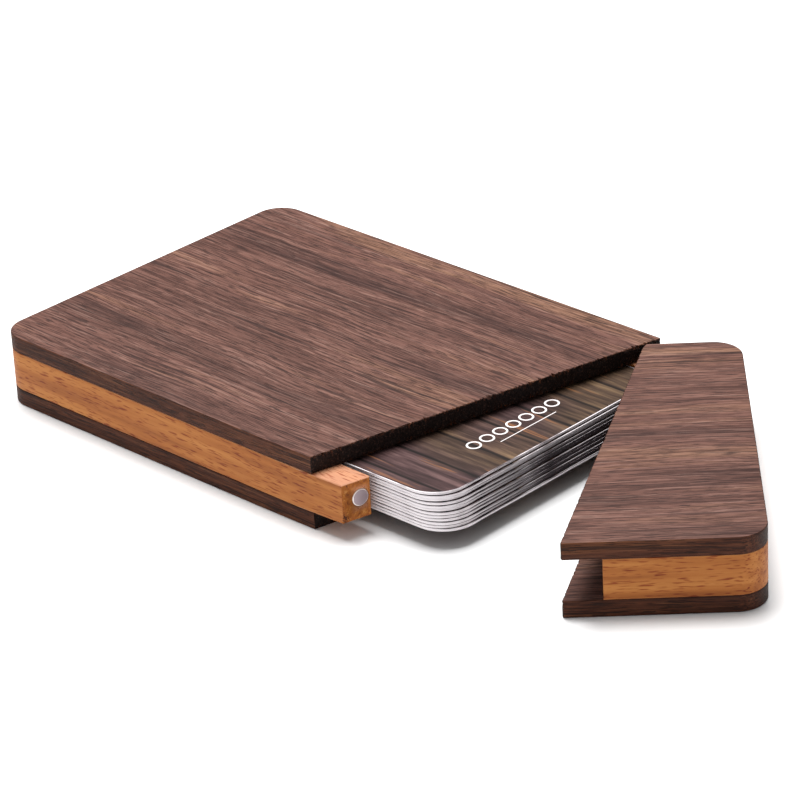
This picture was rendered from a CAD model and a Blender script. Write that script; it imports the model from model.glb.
import math

import bpy
from mathutils import Matrix, Vector, noise


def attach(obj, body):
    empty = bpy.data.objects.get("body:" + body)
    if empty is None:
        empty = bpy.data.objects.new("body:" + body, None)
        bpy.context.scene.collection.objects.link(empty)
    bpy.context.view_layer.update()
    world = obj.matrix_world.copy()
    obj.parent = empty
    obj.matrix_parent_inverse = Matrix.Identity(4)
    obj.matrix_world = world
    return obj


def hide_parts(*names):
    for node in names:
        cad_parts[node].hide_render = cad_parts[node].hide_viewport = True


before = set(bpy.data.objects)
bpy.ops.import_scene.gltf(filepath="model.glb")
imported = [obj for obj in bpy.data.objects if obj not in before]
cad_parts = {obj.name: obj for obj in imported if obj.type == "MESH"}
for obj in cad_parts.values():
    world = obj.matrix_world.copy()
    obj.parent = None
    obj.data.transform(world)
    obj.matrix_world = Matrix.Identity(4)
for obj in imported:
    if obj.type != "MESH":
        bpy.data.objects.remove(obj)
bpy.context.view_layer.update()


# ---------------------------------------------------------------------------------------------
# The box's two boards: flat walnut, 3 mm thick, sanded and oiled, glued on the core and then cut
# across with a fine saw at a slant. The sanded faces keep their open pores, and the sawn end is
# dark end grain with torn fibres along its edges.

# one millimetre in metres; all sizes below are in millimetres
MM = 0.001
case_length = 106.8
case_width = 67.2
board_thick = 3.0
core_top = 10.0
corner_radius = 5.0
saw_cut_start = 75.1
cut_angle = 13
saw_cut_slant = math.tan(math.radians(cut_angle))
board_arris = 0.22
cut_nick = 0.15
cut_step = 0.2
saw_mark_depth = 0.12
tear_depth = 0.8
tear_height = 0.8
cap_wear_share = 0.35


def saw_cut(y, ahead=0.0):
    """Where the slanted cut crosses the length at y, or a line that far ahead of it."""
    return saw_cut_start + saw_cut_slant * y + ahead


def arc(cx, cy, radius, start, end, steps):
    """Points on an arc, angles in degrees."""
    turn = (end - start) / steps
    angles = [math.radians(start + turn * i) for i in range(steps + 1)]
    return [(cx + radius * math.cos(a), cy + radius * math.sin(a)) for a in angles]


def straight(start, end, step):
    """Points from start up to end, no farther apart than step."""
    count = max(1, round(math.dist(start, end) / step))
    return [tuple(a + (b - a) * i / count for a, b in zip(start, end)) for i in range(count)]


def inset(outline, by):
    """An outline that runs anticlockwise, moved inward."""
    moved = []
    for i, here in enumerate(outline):
        before = Vector(here) - Vector(outline[i - 1])
        after = Vector(outline[(i + 1) % len(outline)]) - Vector(here)
        n1 = Vector((-before.y, before.x)).normalized()
        n2 = Vector((-after.y, after.x)).normalized()
        across = (n1 + n2).normalized()
        moved.append(Vector(here) + across * by / max(0.5, across.dot(n1)))
    return moved


def prism(name, outline, low, high, arris, material, wear=None, levels=1):
    """A flat piece of wood: an outline in the box's own millimetres, raised from low to high, with
    its edges rubbed round. wear moves a point of the wall, to roughen a sawn face."""
    rings = []
    for k in range(4):
        t = math.radians(30 * k)
        rings.append((low + arris * (1 - math.cos(t)), arris * (1 - math.sin(t))))
    span = high - low - 2 * arris
    rings += [(low + arris + span * k / levels, 0.0) for k in range(1, levels)]
    rings += [(high + low - z, by) for z, by in reversed(rings[:4])]
    points = []
    for z, by in rings:
        for x, y in inset(outline, by):
            point = Vector((x, y, z))
            if wear:
                point = wear(point)
            points.append((point - Vector((case_length / 2, case_width / 2, 0))) * MM)
    n = len(outline)
    faces = [tuple(reversed(range(n)))]
    for k in range(len(rings) - 1):
        faces += [
            (k * n + i, k * n + (i + 1) % n, (k + 1) * n + (i + 1) % n, (k + 1) * n + i)
            for i in range(n)
        ]
    faces.append(tuple(range((len(rings) - 1) * n, len(rings) * n)))
    return piece(name, points, faces, [material])


def piece(name, points, faces, materials):
    """A mesh object, smooth round its curves and sharp at its edges."""
    mesh = bpy.data.meshes.new(name)
    mesh.from_pydata(points, [], faces)
    mesh.validate()
    for material in materials:
        mesh.materials.append(material)
    mesh.shade_smooth()
    mesh.set_sharp_from_angle(angle=math.radians(20))
    obj = bpy.data.objects.new(name, mesh)
    bpy.context.scene.collection.objects.link(obj)
    return obj


def colour(code):
    """An sRGB hex colour as linear red, green, blue and alpha."""
    parts = [int(code[i : i + 2], 16) / 255 for i in (1, 3, 5)]
    linear = [c / 12.92 if c <= 0.04045 else ((c + 0.055) / 1.055) ** 2.4 for c in parts]
    return (*linear, 1.0)


def add(tree, kind, settings=None, **links):
    """Adds one node. settings are its properties, or its sockets' values by index or name; links
    join its sockets, by name or as s0, s1 and so on, to other nodes' outputs."""
    node = tree.nodes.new(kind)
    for key, value in (settings or {}).items():
        if isinstance(key, str) and hasattr(node, key):
            setattr(node, key, value)
        else:
            node.inputs[key].default_value = value
    for key, source in links.items():
        index = int(key[1:]) if key[0] == "s" and key[1:].isdigit() else key.replace("_", " ")
        tree.links.new(source, node.inputs[index])
    return node


def ramp(tree, source, stops):
    """A colour or grey ramp over a value."""
    node = add(tree, "ShaderNodeValToRGB", s0=source)
    band = node.color_ramp
    while len(band.elements) < len(stops):
        band.elements.new(0.5)
    for element, (at, shade) in zip(band.elements, stops):
        element.position = at
        element.color = colour(shade) if isinstance(shade, str) else (shade, shade, shade, 1)
    return node.outputs[0]


def grain_space(tree, long_mm, wide_mm, run="X", shift=0.0):
    """Coordinates in which a feature long_mm along the grain and wide_mm across it is 1 across."""
    place = add(tree, "ShaderNodeTexCoord").outputs["Object"]
    scale = [1 / (wide_mm * MM)] * 3
    scale["XYZ".index(run)] = 1 / (long_mm * MM)
    return add(
        tree,
        "ShaderNodeMapping",
        {"Scale": scale, "Location": (shift, shift * 0.7, shift * 1.3)},
        Vector=place,
    ).outputs[0]


def facing(tree, axis):
    """How squarely a face looks along one of the piece's own axes, from 0 to 1."""
    normal = add(tree, "ShaderNodeTexCoord").outputs["Normal"]
    parts = add(tree, "ShaderNodeSeparateXYZ", Vector=normal)
    return add(tree, "ShaderNodeMath", {"operation": "ABSOLUTE"}, s0=parts.outputs[axis]).outputs[0]


def mixed(tree, share, first, second, blend="MIX"):
    """Two colours mixed; share is a socket or a number."""
    node = add(tree, "ShaderNodeMix", {"data_type": "RGBA", "blend_type": blend})
    for index, source in ((0, share), (6, first), (7, second)):
        if isinstance(source, (int, float, tuple)):
            node.inputs[index].default_value = source
        else:
            tree.links.new(source, node.inputs[index])
    return node.outputs[2]


def new_material(name):
    material = bpy.data.materials.new(name)
    material.use_nodes = True
    tree = material.node_tree
    return material, tree, tree.nodes["Principled BSDF"]


def oiled_walnut():
    """Black walnut, sanded and wiped with oil: purplish brown with darker streaks and thin veins, and
    open pores that read as short dark dashes along the grain. The sanded ends are dark brown, and
    the raw saw cut is nearly black."""
    material, tree, skin = new_material("oiled walnut")
    sway_mm = 4.5
    drift = add(
        tree, "ShaderNodeTexNoise", {"Scale": 1.0, "Detail": 2.0},
        Vector=grain_space(tree, 55, 16, shift=3),
    )
    spaces = {}
    for key, long_mm, wide_mm, shift in (
        ("band", 90, 6, 11), ("line", 18, 0.42, 5), ("vein", 34, 0.5, 8), ("pore", 3.6, 0.17, 0)
    ):
        straight_space = grain_space(tree, long_mm, wide_mm, shift=shift)
        sway = add(
            tree, "ShaderNodeVectorMath", {"operation": "SCALE", "Scale": sway_mm / wide_mm},
            s0=drift.outputs["Color"],
        ).outputs[0]
        sideways = add(
            tree, "ShaderNodeVectorMath", {"operation": "MULTIPLY", 1: (0.0, 1.0, 0.4)}, s0=sway
        ).outputs[0]
        spaces[key] = add(
            tree, "ShaderNodeVectorMath", {"operation": "ADD"}, s0=straight_space, s1=sideways
        ).outputs[0]
    band, line, vein, pore = (
        add(
            tree, "ShaderNodeTexNoise", {"Scale": 1.0, "Detail": detail, "Roughness": roughness},
            Vector=spaces[key],
        ).outputs[0]
        for key, detail, roughness in (
            ("band", 5.0, 0.62), ("line", 6.0, 0.7), ("vein", 1.0, 0.4), ("pore", 2.0, 0.5)
        )
    )
    wood = ramp(
        tree, band, [(0.35, "#472c26"), (0.46, "#5f3f36"), (0.56, "#6d4a40"), (0.68, "#805c49")]
    )
    streak = ramp(tree, line, [(0.36, "#b09f98"), (0.5, 1.0), (0.62, 1.2)])
    wood = mixed(tree, 1.0, wood, streak, "MULTIPLY")
    wood = mixed(tree, ramp(tree, line, [(0.54, 0.0), (0.7, 0.4)]), wood, colour("#a2887c"))
    wood = mixed(tree, ramp(tree, vein, [(0.3, 0.8), (0.38, 0.0)]), wood, colour("#341f1b"))
    hole = ramp(tree, pore, [(0.4, 1.0), (0.46, 0.0)])
    hole_share = add(tree, "ShaderNodeMath", {"operation": "MULTIPLY", 1: 0.75}, s0=hole).outputs[0]
    wood = mixed(tree, hole_share, wood, colour("#2a1713"))
    speck = add(
        tree, "ShaderNodeTexNoise", {"Scale": 1.0, "Detail": 4.0, "Roughness": 0.7},
        Vector=grain_space(tree, 1.2, 0.32, shift=2),
    )
    sawn = ramp(tree, speck.outputs[0], [(0.38, "#0c0605"), (0.56, "#1f110e"), (0.74, "#5c4136")])
    sanded = ramp(tree, speck.outputs[0], [(0.38, "#241713"), (0.54, "#3a2720"), (0.72, "#5a4236")])
    cut_plane = add(
        tree, "ShaderNodeVectorMath", {"operation": "DOT_PRODUCT", 1: (1, -saw_cut_slant, 0)},
        s0=add(tree, "ShaderNodeTexCoord").outputs["Object"],
    ).outputs["Value"]
    cut_at = (saw_cut(case_width / 2) - case_length / 2) * MM
    off = add(tree, "ShaderNodeMath", {"operation": "SUBTRACT", 1: cut_at}, s0=cut_plane).outputs[0]
    off = add(tree, "ShaderNodeMath", {"operation": "ABSOLUTE"}, s0=off).outputs[0]
    far = add(tree, "ShaderNodeMapRange", {"From Min": 1.5 * MM, "From Max": 2 * MM}, Value=off)
    sawn = mixed(tree, far.outputs[0], sawn, sanded)
    level = add(tree, "ShaderNodeMapRange", {"From Min": 0.8, "From Max": 0.97}, Value=facing(tree, 2))
    side = mixed(tree, 1.0, wood, colour("#cbaa84"), "MULTIPLY")
    wood = mixed(tree, level.outputs[0], side, wood)
    end = add(tree, "ShaderNodeMapRange", {"From Min": 0.55, "From Max": 0.9}, Value=facing(tree, 0))
    wood = mixed(tree, end.outputs[0], wood, sawn)
    tree.links.new(wood, skin.inputs["Base Color"])
    skin.inputs["Roughness"].default_value = 0.66
    skin.inputs["Specular IOR Level"].default_value = 0.2
    relief = add(
        tree, "ShaderNodeMath", {"operation": "MULTIPLY_ADD", 1: -1.0}, s0=hole,
        s2=add(tree, "ShaderNodeMath", {"operation": "MULTIPLY", 1: 0.5}, s0=line).outputs[0],
    )
    bump = add(
        tree, "ShaderNodeBump", {"Strength": 0.5, "Distance": 0.12 * MM}, Height=relief.outputs[0]
    )
    tree.links.new(bump.outputs[0], skin.inputs["Normal"])
    return material


def torn_fibres(side):
    """Roughens the slanted cut: fine saw marks over the face and small tears along its two edges.
    side is the way into the wood, -1 for the box and +1 for the cap."""

    def wear(point):
        # only the points of the cut's own wall, with their rubbed edges
        off = abs(point.x - saw_cut(point.y, 0.1 if side > 0 else 0.0))
        if off > board_arris + 0.02:
            return point
        z = point.z % core_top
        edge = max(0.0, 1 - min(abs(z), abs(board_thick - z)) / tear_height)
        fine = noise.noise(Vector((point.y * 2.6, point.z * 1.1, 7.0)))
        tear = noise.noise(Vector((point.y * 0.9, point.z * 0.5, 31.0)))
        depth = saw_mark_depth * (fine + 0.5) + edge * tear_depth * max(0.0, tear * 0.5 + fine)
        depth *= 1.0 if side < 0 else cap_wear_share
        return point + Vector((side * max(0.0, depth), 0, 0))

    return wear


walnut = oiled_walnut()
box_outline = (
    arc(corner_radius, corner_radius, corner_radius, 180, 270, 20)
    + straight((corner_radius + 1, 0), (saw_cut(0) - 0.2, 0), 12)
    + straight((saw_cut(0), cut_nick), (saw_cut(case_width), case_width - cut_nick), cut_step)
    + [(saw_cut(case_width) - cut_nick, case_width)]
    + arc(corner_radius, case_width - corner_radius, corner_radius, 90, 180, 20)[:-1]
)
for node, low in (("case_bottom_board", 0.0), ("case_top_board", core_top)):
    board = prism(
        f"{node}_walnut", box_outline, low, low + board_thick, board_arris, walnut, torn_fibres(-1), 8
    )
    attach(board, "case")
    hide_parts(node)


# ---------------------------------------------------------------------------------------------
# The core of the box: three beech strips mitred at the back corners. The near rail stands out of
# the cut as a tongue, planed a touch thinner; the far rail ends in a round hinge end on the pin.

rail_width = 5.8
tongue_length = 6.35
tongue_clear = 0.05
chipped_corner = (28.1, -32.8, 4.0)
rail_arris = 0.18
tongue_round = 0.22
tongue_corner = 0.3
pin_out = 4.8
pin_x = saw_cut(case_width - rail_width / 2, pin_out)
pin_y = case_width - rail_width / 2


def oiled_beech(run):
    """Steamed beech, sanded and oiled: warm orange brown, even, with short darker flecks along the
    grain. It looks paler where the light lies flat on it and golden brown on its cut ends."""
    material, tree, skin = new_material(f"oiled beech along {run}")
    end_axis = "XYZ".index(run)
    soft = add(
        tree, "ShaderNodeTexNoise", {"Scale": 1.0, "Detail": 4.0, "Roughness": 0.55},
        Vector=grain_space(tree, 30, 1.6, run, 4),
    )
    fleck = add(
        tree, "ShaderNodeTexNoise", {"Scale": 1.0, "Detail": 1.0, "Roughness": 0.4},
        Vector=grain_space(tree, 2.2, 0.28, run, 9),
    )
    wood = ramp(tree, soft.outputs[0], [(0.3, "#9a5825"), (0.5, "#b67034"), (0.7, "#c88544")])
    pale = mixed(tree, 1.0, wood, colour("#f5e2d8"), "MULTIPLY")
    pale = mixed(tree, 0.5, pale, colour("#e3b296"))
    level = add(tree, "ShaderNodeMapRange", {"From Min": 0.3, "From Max": 0.8}, Value=facing(tree, 2))
    wood = mixed(tree, level.outputs[0], wood, pale)
    flecks = ramp(tree, fleck.outputs[0], [(0.3, "#b98c70"), (0.44, "#f4efe9")])
    wood = mixed(tree, 1.0, wood, flecks, "MULTIPLY")
    speck = add(
        tree, "ShaderNodeTexNoise", {"Scale": 1.0, "Detail": 3.0, "Roughness": 0.7},
        Vector=grain_space(tree, 0.9, 0.75, run, 1),
    )
    cut = ramp(
        tree, speck.outputs[0],
        [(0.32, "#4f2408"), (0.42, "#94501a"), (0.58, "#ad6625"), (0.7, "#c98e4c")],
    )
    end = add(
        tree, "ShaderNodeMapRange", {"From Min": 0.6, "From Max": 0.9}, Value=facing(tree, end_axis)
    )
    wood = mixed(tree, end.outputs[0], wood, cut)
    # a dark stain round the tongue's chipped lower corner, its rim made ragged by the flecks
    corner = tuple(v * MM for v in chipped_corner)
    chip = add(
        tree, "ShaderNodeVectorMath", {"operation": "DISTANCE", 1: corner},
        s0=add(tree, "ShaderNodeTexCoord").outputs["Object"],
    ).outputs["Value"]
    ragged = add(
        tree, "ShaderNodeMath", {"operation": "MULTIPLY", 1: 3.2}, s0=fleck.outputs[0]
    ).outputs[0]
    chip = add(
        tree, "ShaderNodeMath", {"operation": "MULTIPLY_ADD", 1: 1 / MM}, s0=chip, s2=ragged
    ).outputs[0]
    chip = add(tree, "ShaderNodeMath", {"operation": "MULTIPLY", 1: 0.25}, s0=chip).outputs[0]
    wood = mixed(tree, ramp(tree, chip, [(0.49, 0.9), (0.56, 0.0)]), wood, colour("#3a1206"))
    tree.links.new(wood, skin.inputs["Base Color"])
    skin.inputs["Roughness"].default_value = 0.6
    skin.inputs["Specular IOR Level"].default_value = 0.25
    bump = add(
        tree, "ShaderNodeBump", {"Strength": 0.3, "Distance": 0.06 * MM}, Height=soft.outputs[0]
    )
    tree.links.new(bump.outputs[0], skin.inputs["Normal"])
    return material


beech = oiled_beech("X")
cross_beech = oiled_beech("Y")


def across(outline):
    """The same outline on the far side of the case, still anticlockwise."""
    return [(x, case_width - y) for x, y in reversed(outline)]


near_outline = (
    [(rail_width, rail_width)]
    + arc(corner_radius, corner_radius, corner_radius, 225, 270, 10)
    + straight((corner_radius + 1, 0), (saw_cut(0, tongue_length) - tongue_corner, 0), 10)
    + [(saw_cut(tongue_corner, tongue_length), tongue_corner)]
    + [(saw_cut(rail_width - tongue_corner, tongue_length), rail_width - tongue_corner)]
    + [(saw_cut(rail_width, tongue_length) - 0.35, rail_width)]
)
far_outline = across(
    [(rail_width, rail_width)]
    + arc(corner_radius, corner_radius, corner_radius, 225, 270, 10)
    + straight((corner_radius + 1, 0), (pin_x - 1, 0), 10)
    + arc(pin_x, rail_width / 2, rail_width / 2, -90, 90, 30)
)
back_outline = (
    [(rail_width, rail_width), (rail_width, case_width - rail_width)]
    + arc(corner_radius, case_width - corner_radius, corner_radius, 135, 180, 10)
    + arc(corner_radius, corner_radius, corner_radius, 180, 225, 10)
)


def planed_tongue(point):
    """Takes a hair off the flat faces of what stands out of the cut, and rubs its edges round."""
    if point.x > saw_cut(point.y) + 0.01:
        middle = (board_thick + core_top) / 2
        half = core_top - middle - tongue_clear
        point.z = min(max(point.z, middle - half), middle + half)
        # how far into the outer twentieth of the height, where the edges are rubbed
        lip = max(0.0, abs(point.z - middle) / half - 0.95) / 0.05
        point.y += tongue_round * lip * (1 if point.y < rail_width / 2 else -1)
        if point.x > saw_cut(point.y, tongue_length) - 1:
            point.x -= tongue_round * lip
    return point


for node, outline, material in (
    ("near_rail", near_outline, beech),
    ("far_rail", far_outline, beech),
    ("back_rail", back_outline, cross_beech),
):
    rail = prism(
        f"{node}_beech", outline, board_thick, core_top, rail_arris, material, planed_tongue
    )
    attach(rail, "case")
    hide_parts(node)


# ---------------------------------------------------------------------------------------------
# The magnet in the tongue, flush with its end, and the steel hinge pin through the far rail. A
# magnet is a nickel-plated disc glued into a blind hole, with a bright bevel round a matt face.

magnet_radius = 1.5
magnet_length = 3.0
magnet_in = 3.7
magnet_height = 6.8
magnet_rim = 0.16
bore_scale = 1.05


def plain_finish(name, shade, roughness, metallic=0.0):
    """One even colour and gloss all over."""
    material, _, skin = new_material(name)
    skin.inputs["Base Color"].default_value = shade
    skin.inputs["Metallic"].default_value = metallic
    skin.inputs["Roughness"].default_value = roughness
    return material


# nickel plate dulled by handling, the same plate where its bevel catches the light, and drawn steel
matt_nickel = plain_finish("matt nickel plate", colour("#a08f94"), 0.45, 0.75)
bright_nickel = plain_finish("bright nickel rim", colour("#f2e6e0"), 0.35, 0.6)
steel = plain_finish("bright steel pin", colour("#c4c3c6"), 0.3, 1.0)


def bored(obj, plug):
    """Drills a piece of wood with the shape of a magnet or a pin, made a hair larger."""
    drill = plug.copy()
    drill.data = plug.data.copy()
    middle = sum((Vector(v.co) for v in drill.data.vertices), Vector()) / len(drill.data.vertices)
    for vertex in drill.data.vertices:
        vertex.co = middle + (vertex.co - middle) * bore_scale
    bpy.context.scene.collection.objects.link(drill)
    cut = obj.modifiers.new("bore", "BOOLEAN")
    cut.object = drill
    cut.solver = "EXACT"
    bpy.context.view_layer.update()
    done = obj.evaluated_get(bpy.context.evaluated_depsgraph_get())
    obj.data = bpy.data.meshes.new_from_object(done)
    obj.modifiers.clear()
    bpy.data.objects.remove(drill)


def magnet(node, out, shift):
    """A disc square to the cut. Its inner end lies out millimetres in front of the cut, moved on by
    shift."""
    middle = (case_length / 2, case_width / 2)
    circle = arc(*middle, magnet_radius, 0, 360, 64)[:-1]
    disc = prism(f"{node}_disc", circle, 0, magnet_length, magnet_rim, matt_nickel)
    disc.data.materials.append(bright_nickel)
    for face in disc.data.polygons:
        # the bevel's faces look neither along the disc nor straight out of its side
        if 0.1 < abs(face.normal.z) < 0.99:
            face.material_index = 1
    mouth = Vector((saw_cut(magnet_in, out), magnet_in, magnet_height)) - Vector((*middle, 0))
    disc.matrix_world = (
        Matrix.Translation(mouth * MM)
        @ Matrix.Rotation(math.atan(-saw_cut_slant), 4, "Z")
        @ Matrix.Rotation(math.radians(90), 4, "Y")
        @ Matrix.Translation((0, 0, shift * MM))
    )
    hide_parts(node)
    return disc


rail_magnet = magnet("near_rail_magnet", tongue_length, -magnet_length)
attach(rail_magnet, "case")
bored(bpy.data.objects["near_rail_beech"], rail_magnet)
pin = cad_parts["hinge_pin"]
pin.data.materials.clear()
pin.data.materials.append(steel)
bored(bpy.data.objects["far_rail_beech"], pin)


# ---------------------------------------------------------------------------------------------
# The cap's boards: sawn off the same blank as the box, so their grain runs on from the box's when
# it is shut. Their hinge corner is rounded about the pin so that the cap can swing.

saw_gap = 0.1
swing_radius = (pin_out - saw_gap) * math.cos(math.radians(cut_angle))
swing = math.radians(43)

centre = Vector((pin_x - case_length / 2, pin_y - case_width / 2, 0)) * MM
swung_open = Matrix.Translation(centre) @ Matrix.Rotation(swing, 4, "Z") @ Matrix.Translation(-centre)
edge_angle = 180 - math.degrees(math.asin(rail_width / 2 / swing_radius))
round_corner = arc(pin_x, pin_y, swing_radius, edge_angle, 180 - cut_angle, 10)
far_corner = arc(
    case_length - corner_radius, case_width - corner_radius, corner_radius, 0, 90, 20
)
near_corner = arc(case_length - corner_radius, corner_radius, corner_radius, 270, 360, 20)
cap_outline = (
    straight(round_corner[-1], (saw_cut(cut_nick, saw_gap), cut_nick), cut_step)
    + [(saw_cut(0, saw_gap) + 0.2, 0)]
    + near_corner
    + far_corner
    + round_corner[:-1]
)
for node, low in (("cap_bottom_board", 0.0), ("cap_top_board", core_top)):
    board = prism(
        f"{node}_walnut", cap_outline, low, low + board_thick, board_arris, walnut, torn_fibres(1), 8
    )
    board.matrix_world = swung_open
    bored(board, pin)
    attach(board, "cap")
    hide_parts(node)


# ---------------------------------------------------------------------------------------------
# The cap's core: two short beech blocks set back from the cut to leave sockets for the tongue
# and the hinge end, and a strip across the front, mitred to both at the corners. The other magnet
# sits in the near block.

block_gap = 0.1
hinge_room = 1.2
block_arris = 0.08

near_block = (
    [(saw_cut(0.1, tongue_length + block_gap) + 0.1, 0)]
    + straight((saw_cut(1, tongue_length + block_gap) + 2, 0), (case_length - 6, 0), 6)
    + arc(case_length - corner_radius, corner_radius, corner_radius, 270, 315, 10)
    + [(case_length - rail_width, rail_width)]
    + [(saw_cut(rail_width, tongue_length + block_gap) + 0.1, rail_width)]
    + [(saw_cut(rail_width - 0.1, tongue_length + block_gap), rail_width - 0.1)]
    + [(saw_cut(0.1, tongue_length + block_gap), 0.1)]
)
block_start = pin_x + rail_width / 2 + hinge_room
far_block = across(
    [(block_start, 0)]
    + arc(case_length - corner_radius, corner_radius, corner_radius, 270, 315, 10)
    + [(case_length - rail_width, rail_width), (block_start, rail_width)]
)
front_strip = (
    [(case_length - rail_width, case_width - rail_width), (case_length - rail_width, rail_width)]
    + arc(case_length - corner_radius, corner_radius, corner_radius, 315, 360, 10)
    + arc(case_length - corner_radius, case_width - corner_radius, corner_radius, 0, 45, 10)
)
for node, outline, material in (
    ("cap_near_block", near_block, beech),
    ("cap_far_block", far_block, beech),
    ("cap_front_strip", front_strip, cross_beech),
):
    block = prism(f"{node}_beech", outline, board_thick, core_top, block_arris, material)
    block.matrix_world = swung_open
    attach(block, "cap")
    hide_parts(node)
cap_magnet = magnet("cap_magnet", tongue_length + block_gap, 0)
cap_magnet.matrix_world = swung_open @ cap_magnet.matrix_world
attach(cap_magnet, "cap")
bored(bpy.data.objects["cap_near_block_beech"], cap_magnet)


# ---------------------------------------------------------------------------------------------
# The cards: thick uncoated stock with rounded corners, printed on both faces, in a loose pile that
# leans out toward the bottom. None lies quite flat, so the black gaps between their white edges open
# and close along the pile.

card_length = 90.0
card_width = 54.0
card_thick = 0.42
card_pitch = 0.56
card_radius = 6.0
card_count = 12
print_margin = 0.18
half_gap = 0.07
back_play = 0.23
fan_out = 1.2
jog = 0.24
scatter = 137
top_card_turn = 0.5
fan_turn = 0.3
loose_lift = (0, 0.05, -0.03)


def card_stock():
    """Uncoated white board, guillotined: very slightly warm, with a soft cut edge. The ends are
    grubby from fingers over their far half, in the middle of the pile most."""
    material, tree, skin = new_material("uncoated card stock")
    cut = add(
        tree, "ShaderNodeTexNoise", {"Scale": 1.0, "Detail": 3.0, "Roughness": 0.6},
        Vector=grain_space(tree, 0.35, 14, "Z"),
    )
    place = add(tree, "ShaderNodeTexCoord").outputs["Object"]
    along = add(tree, "ShaderNodeSeparateXYZ", Vector=place).outputs["Y"]
    handled = add(
        tree, "ShaderNodeMapRange", {"From Min": -25 * MM, "From Max": -4 * MM}, Value=along
    )
    front = add(tree, "ShaderNodeMapRange", {"From Min": 0.5, "From Max": 0.95}, Value=facing(tree, 0))
    height = add(
        tree, "ShaderNodeSeparateXYZ", Vector=add(tree, "ShaderNodeNewGeometry").outputs["Position"]
    ).outputs["Z"]
    height = add(tree, "ShaderNodeMath", {"operation": "MULTIPLY", 1: 1 / (core_top * MM)}, s0=height)
    low = ramp(tree, height.outputs[0], [(0.33, 0.0), (0.36, 1.0), (0.75, 1.0), (0.96, 0.25)])
    share = add(
        tree, "ShaderNodeMath", {"operation": "MULTIPLY"}, s0=handled.outputs[0], s1=front.outputs[0]
    ).outputs[0]
    share = add(tree, "ShaderNodeMath", {"operation": "MULTIPLY"}, s0=share, s1=low).outputs[0]
    edge = ramp(tree, cut.outputs[0], [(0.4, "#40363a"), (0.46, "#a2979b"), (0.52, "#f5eef1")])
    grubby = mixed(tree, 1.0, edge, colour("#352c30"), "MULTIPLY")
    tree.links.new(mixed(tree, share, edge, grubby), skin.inputs["Base Color"])
    skin.inputs["Roughness"].default_value = 0.8
    return material


def plank_print():
    """The cards' print: old weathered planks side by side along the card, purplish brown toward the
    near side and olive toward the far side, with orange streaks and black gaps between them."""
    material, tree, skin = new_material("plank print on card")
    plank_mm = 7.4
    place = add(tree, "ShaderNodeTexCoord").outputs["Object"]
    parts = add(tree, "ShaderNodeSeparateXYZ", Vector=place)
    wobble = add(
        tree, "ShaderNodeTexNoise", {"Scale": 1.0, "Detail": 2.0},
        Vector=grain_space(tree, 30, 12, shift=2),
    )
    count = add(
        tree, "ShaderNodeMath", {"operation": "MULTIPLY_ADD", 1: 1 / (plank_mm * MM), 2: 20.3},
        s0=parts.outputs["Y"],
    )
    count = add(
        tree, "ShaderNodeMath", {"operation": "MULTIPLY_ADD", 1: 0.14},
        s0=wobble.outputs[0], s2=count.outputs[0],
    ).outputs[0]
    which = add(tree, "ShaderNodeMath", {"operation": "FLOOR"}, s0=count).outputs[0]
    within = add(tree, "ShaderNodeMath", {"operation": "FRACT"}, s0=count).outputs[0]
    chance = add(tree, "ShaderNodeTexWhiteNoise", {"noise_dimensions": "1D"}, W=which)
    grain = add(
        tree, "ShaderNodeTexNoise", {"Scale": 1.0, "Detail": 6.0, "Roughness": 0.65},
        Vector=grain_space(tree, 14, 1.1, shift=1),
    )
    patch = add(
        tree, "ShaderNodeTexNoise", {"Scale": 1.0, "Detail": 3.0, "Roughness": 0.5},
        Vector=grain_space(tree, 30, 16, shift=6),
    )
    dark = ramp(tree, grain.outputs[0], [(0.3, "#1f1413"), (0.5, "#443030"), (0.7, "#6b5250")])
    olive = ramp(tree, grain.outputs[0], [(0.3, "#261a14"), (0.5, "#503d30"), (0.7, "#7a6249")])
    toward = add(
        tree, "ShaderNodeMath", {"operation": "MULTIPLY_ADD", 1: 9.0},
        s0=parts.outputs["Y"], s2=patch.outputs[0],
    ).outputs[0]
    share = ramp(tree, toward, [(0.36, 0.0), (0.56, 1.0)])
    wood = mixed(tree, share, dark, olive)
    tone = add(
        tree, "ShaderNodeMapRange", {"To Min": 0.75, "To Max": 1.15}, Value=chance.outputs["Value"]
    ).outputs[0]
    grey = add(tree, "ShaderNodeCombineColor", s0=tone, s1=tone, s2=tone)
    wood = mixed(tree, 1.0, wood, grey.outputs[0], "MULTIPLY")
    streak = add(
        tree, "ShaderNodeTexNoise", {"Scale": 1.0, "Detail": 3.0, "Roughness": 0.55},
        Vector=grain_space(tree, 24, 1.3, shift=13),
    )
    orange = ramp(tree, streak.outputs[0], [(0.63, 0.0), (0.74, 0.8)])
    wood = mixed(tree, orange, wood, colour("#a86f45"))
    gap = ramp(tree, within, [(0.0, 1.0), (0.05, 0.8), (0.09, 0.0), (0.97, 0.0), (1.0, 0.9)])
    wood = mixed(tree, gap, wood, colour("#150e0d"))
    tree.links.new(wood, skin.inputs["Base Color"])
    skin.inputs["Roughness"].default_value = 0.55
    skin.inputs["Specular IOR Level"].default_value = 0.15
    return material


stock = card_stock()
planks = plank_print()


def spread(half, radius):
    """Grid lines from -half to half: the print margin, close steps in the corners, wide between."""
    corner = [half - print_margin] + [half - radius * k / 7 for k in range(1, 8)]
    between = [(half - radius) * k / 6 for k in range(5, -1, -1)]
    side = [half] + corner + between
    return [-v for v in side] + side[-2::-1]


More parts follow.
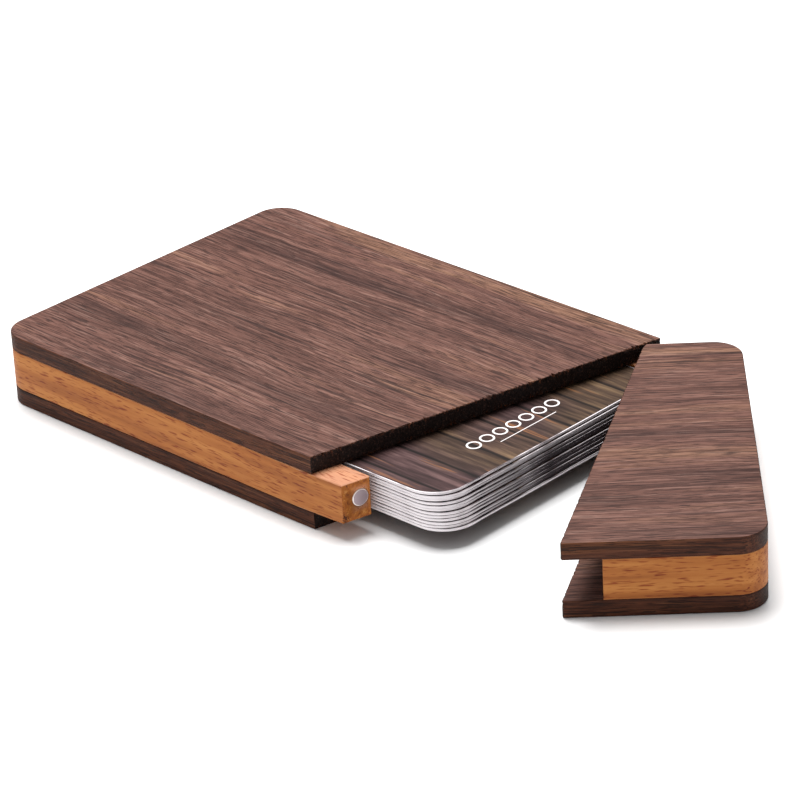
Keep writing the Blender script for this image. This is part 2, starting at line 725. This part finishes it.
def card_sheet(name, warp, face_print):
    """A card with round corners as a fine grid, top and bottom, its edge upright between them. Both
    faces are printed up to a narrow white margin."""
    xs = spread(card_length / 2, card_radius)
    ys = spread(card_width / 2, card_radius)
    plan = []
    for x in xs:
        for y in ys:
            dx = abs(x) - (card_length / 2 - card_radius)
            dy = abs(y) - (card_width / 2 - card_radius)
            if dx > 0 and dy > 0:
                pull = max(dx, dy) / math.hypot(dx, dy)
                x2 = math.copysign(card_length / 2 - card_radius + dx * pull, x)
                y2 = math.copysign(card_width / 2 - card_radius + dy * pull, y)
                plan.append((x2, y2))
            else:
                plan.append((x, y))
    points = [Vector((x, y, z + warp(x, y))) * MM for z in (0, card_thick) for x, y in plan]
    nx, ny, total = len(xs), len(ys), len(plan)
    faces, printed = [], []
    for i in range(nx - 1):
        for j in range(ny - 1):
            a = i * ny + j
            quad = (a, a + ny, a + ny + 1, a + 1)
            if 0 < i < nx - 2 and 0 < j < ny - 2:
                printed += [len(faces), len(faces) + 1]
            faces.append(tuple(reversed(quad)))
            faces.append(tuple(v + total for v in quad))
    rim = [i * ny for i in range(nx)]
    rim += [(nx - 1) * ny + j for j in range(1, ny)]
    rim += [i * ny + ny - 1 for i in range(nx - 2, -1, -1)]
    rim += list(range(ny - 2, 0, -1))
    for a, b in zip(rim, rim[1:] + rim[:1]):
        faces.append((a, b, b + total, a + total))
    sheet = piece(name, points, faces, [stock, face_print])
    for index in printed:
        sheet.data.polygons[index].material_index = 1
    return sheet


for i in range(1, card_count + 1):
    top = i == card_count
    node = "top_card" if top else f"card_{i:02d}"
    down = 1 - i / card_count
    lean = rail_width + back_play + card_length / 2 + fan_out * down
    lean += 0 if top else jog / 2 * (1 + math.sin(math.radians(scatter * i)))
    turn = math.radians(top_card_turn + fan_turn * down)

    def warp(x, y, seed=i * 3.7, lift=0.02):
        """A hair's unevenness, less than half the gap to the next card."""
        return lift * max(-1, min(1, 1.6 * noise.noise(Vector((x * 0.045, y * 0.06, seed)))))

    card = card_sheet(f"{node}_sheet", warp, planks)
    base = board_thick + half_gap + (i - 1) * card_pitch + loose_lift[i % 3]
    place = Vector((lean - case_length / 2, 0, base)) * MM
    card.matrix_world = Matrix.Translation(place) @ Matrix.Rotation(turn, 4, "Z")
    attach(card, "top_card" if top else "card_pile")
    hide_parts(node)


# ---------------------------------------------------------------------------------------------
# The mark on the top card: a row of plain rings and a thin rule in front of them, in opaque white
# ink, set along the card's front edge.

ring_radius = 1.3
ring_pitch = 3.15
ring_count = 7
line_width = 0.34
ink_thick = 0.02
rule_length = 13.4
mark_back = 8.1
mark_shift = -0.5
rule_ahead = 2.5
rule_shift = 0.3
ink_clear = 0.012

# screen-printed ink with a slight sheen
ink = plain_finish("white ink", colour("#f6efee"), 0.5)


def flat_loop(inner, outer, low):
    """A thin closed band between two outlines with as many points each."""
    n = len(inner)
    points = [(x, y, z) for z in (low, low + ink_thick) for x, y in outer + inner]
    faces = []
    for i in range(n):
        j = (i + 1) % n
        faces.append((i, n + i, n + j, j))
        faces.append((2 * n + i, 2 * n + j, 3 * n + j, 3 * n + i))
        faces.append((i, j, 2 * n + j, 2 * n + i))
        faces.append((n + j, n + i, 3 * n + i, 3 * n + j))
    return points, faces


card_face = card_thick + ink_clear
mark_x = card_length / 2 - mark_back
points, faces = [], []
for k in range(ring_count):
    y = (k - (ring_count - 1) / 2) * ring_pitch + mark_shift
    outer = arc(mark_x, y, ring_radius, 0, 360, 36)[:-1]
    inner = arc(mark_x, y, ring_radius - line_width, 0, 360, 36)[:-1]
    more, loops = flat_loop(inner, outer, card_face)
    faces += [tuple(v + len(points) for v in face) for face in loops]
    points += more
rule = [
    (mark_x + rule_ahead + dx, y + rule_shift, card_face + z)
    for z in (0, ink_thick)
    for dx, y in (
        (0, -rule_length / 2), (line_width / 2, -rule_length / 2),
        (line_width / 2, rule_length / 2), (0, rule_length / 2),
    )
]
sides = [(3, 2, 1, 0), (4, 5, 6, 7), (0, 1, 5, 4), (1, 2, 6, 5), (2, 3, 7, 6), (3, 0, 4, 7)]
faces += [tuple(v + len(points) for v in side) for side in sides]
points += rule
top_warp = [Vector((x, y, z + warp(x, y))) * MM for x, y, z in points]
mark = piece("card_mark", top_warp, faces, [ink])
mark.matrix_world = card.matrix_world.copy()
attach(mark, "top_card")


# ---------------------------------------------------------------------------------------------
# The floor: a plain white sheet under the case, lit so that it falls away to white.

floor_half = 4.0

floor_mesh = bpy.data.meshes.new("floor")
floor_mesh.from_pydata(
    [(-floor_half, -floor_half, 0), (floor_half, -floor_half, 0),
     (floor_half, floor_half, 0), (-floor_half, floor_half, 0)],
    [], [(0, 1, 2, 3)],
)
floor = bpy.data.objects.new("floor", floor_mesh)
bpy.context.scene.collection.objects.link(floor)
# matt paper
white_sheet = plain_finish("white paper sheet", (0.96, 0.96, 0.96, 1), 0.9)
floor_mesh.materials.append(white_sheet)


# ---------------------------------------------------------------------------------------------
# Studio light: a dim white room and one large soft light over the case, a little behind it.

world = bpy.data.worlds.new("studio")
bpy.context.scene.world = world
world.use_nodes = True
world.node_tree.nodes["Background"].inputs["Color"].default_value = (1, 1, 1, 1)
world.node_tree.nodes["Background"].inputs["Strength"].default_value = 0.36
bpy.context.scene.view_settings.view_transform = "Standard"


def soft_light(name, place, aim, size, watts):
    """A square soft light that points at aim."""
    lamp = bpy.data.lights.new(name, "AREA")
    lamp.size = size
    lamp.energy = watts
    obj = bpy.data.objects.new(name, lamp)
    obj.location = place
    obj.rotation_euler = (Vector(aim) - Vector(place)).to_track_quat("-Z", "Y").to_euler()
    bpy.context.scene.collection.objects.link(obj)


soft_light("overhead", (-0.22, 0.12, 0.9), (0.02, 0, 0), 0.6, 14.8)


# ---------------------------------------------------------------------------------------------
# The camera: a long lens held a little askew.

camera_data = bpy.data.cameras.new("camera")
camera_data.lens = 171.2
camera_data.sensor_width = 36.0
camera_data.clip_start = 0.05
camera = bpy.data.objects.new("camera", camera_data)
bpy.context.scene.collection.objects.link(camera)
azimuth, elevation, roll = math.radians(45.239), math.radians(26.723), math.radians(-3.091)
distance = 0.645384
target = Vector((0.000542, 0.008107, 0))
back = Vector(
    (
        math.sin(azimuth) * math.cos(elevation),
        -math.cos(azimuth) * math.cos(elevation),
        math.sin(elevation),
    )
)
right = Vector((math.cos(azimuth), math.sin(azimuth), 0))
up = back.cross(right)
right, up = right * math.cos(roll) + up * math.sin(roll), up * math.cos(roll) - right * math.sin(roll)
camera.matrix_world = Matrix.Translation(target + back * distance) @ Matrix(
    (
        (right.x, up.x, back.x, 0),
        (right.y, up.y, back.y, 0),
        (right.z, up.z, back.z, 0),
        (0, 0, 0, 1),
    )
)
bpy.context.scene.camera = camera
